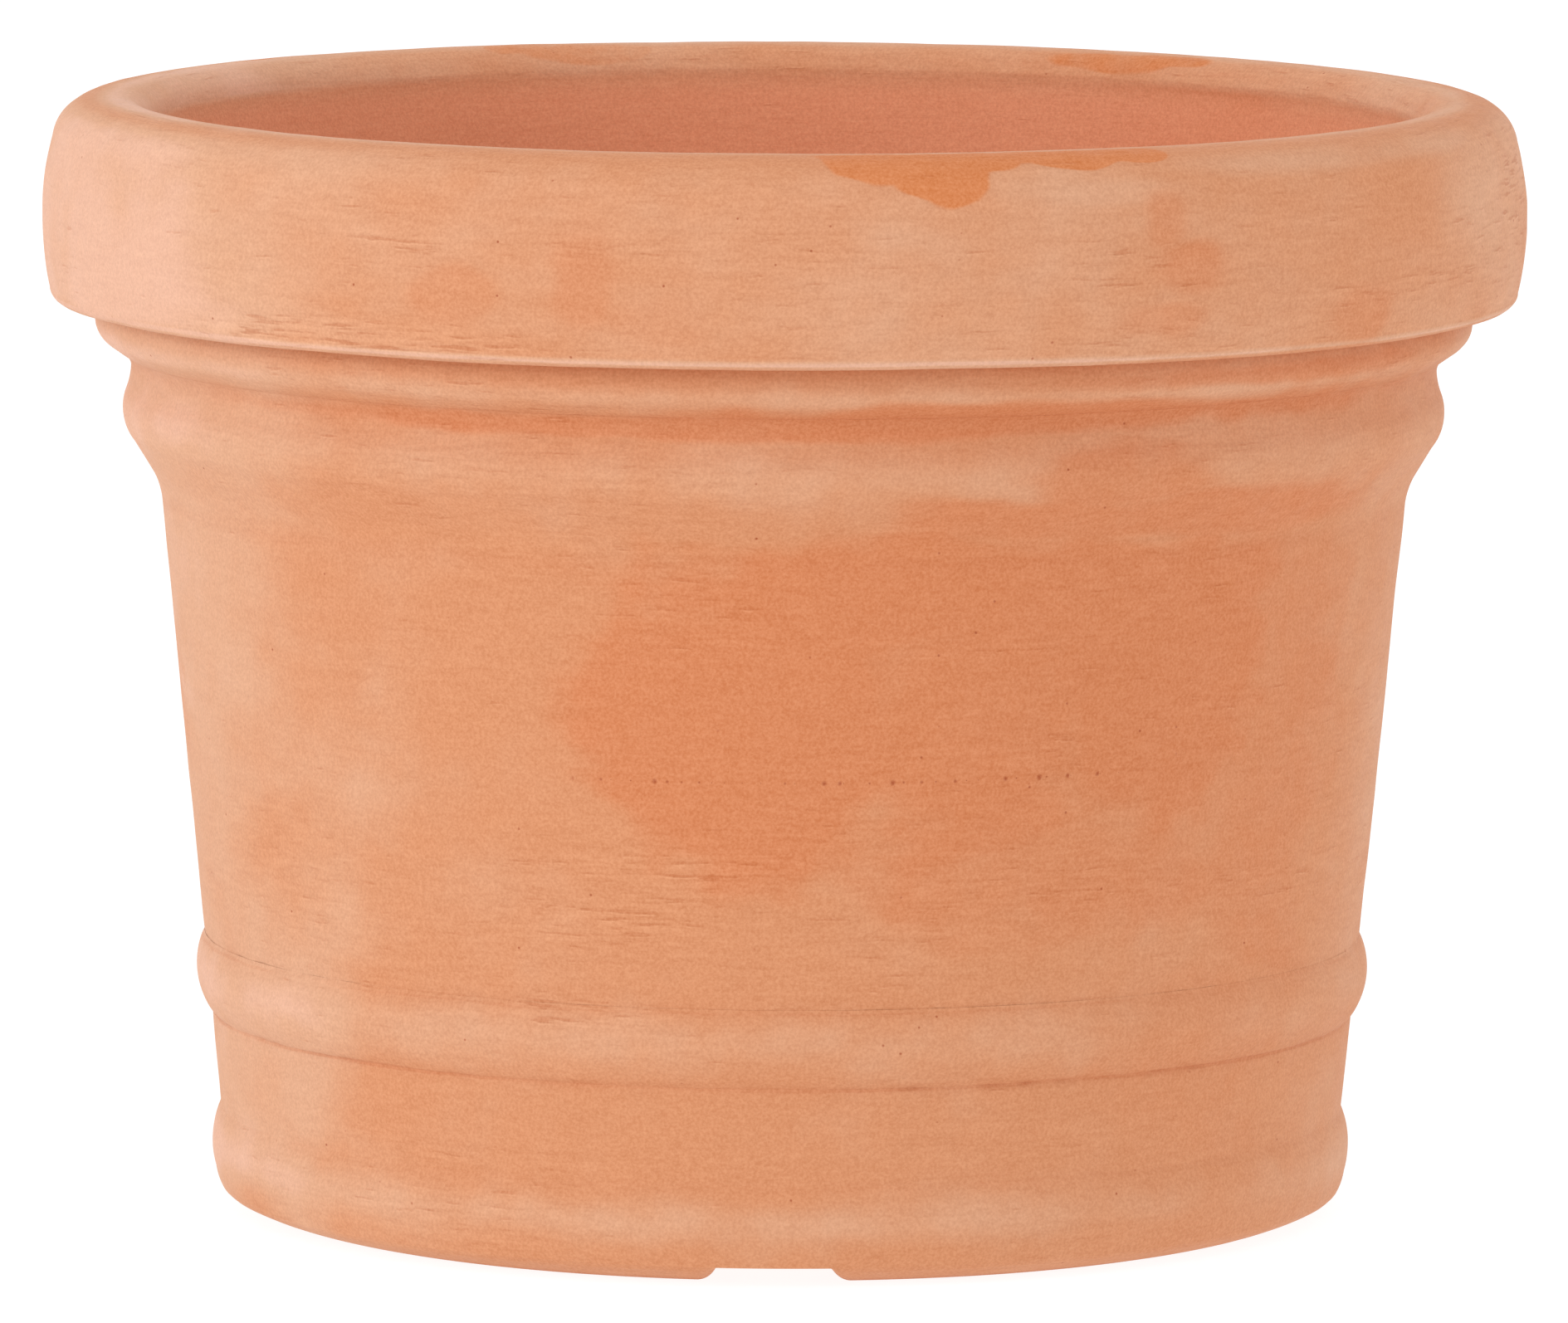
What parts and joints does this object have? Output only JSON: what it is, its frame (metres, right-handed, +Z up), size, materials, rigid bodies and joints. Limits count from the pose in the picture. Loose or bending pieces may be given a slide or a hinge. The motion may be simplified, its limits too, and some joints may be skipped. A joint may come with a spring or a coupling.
{
  "type": "terracotta pot",
  "caption": "Round tapering terracotta plant pot with a heavy rolled rim, raised bands and a drainage hole between notched feet.",
  "frame": {"origin": "centre of the ground plane the feet stand on, under the drainage hole", "axes": "+Z up along the pot's axis; -Y through the front drainage notch; +X to the right seen from the front"},
  "size_m": [0.4, 0.4, 0.301],
  "materials": {
    "fired_clay": "dry matte fired clay, unglazed, with pale bloom"
  },
  "bodies": {
    "root": {"floor_slab": "fired_clay", "foot_band": "fired_clay", "body_wall": "fired_clay", "lower_band": "fired_clay", "neck_ring": "fired_clay", "rim_bead": "fired_clay", "rim_roll": "fired_clay", "foot_pad_back": "fired_clay", "foot_pad_left": "fired_clay", "foot_pad_right": "fired_clay"}
  },
  "joints": []
}
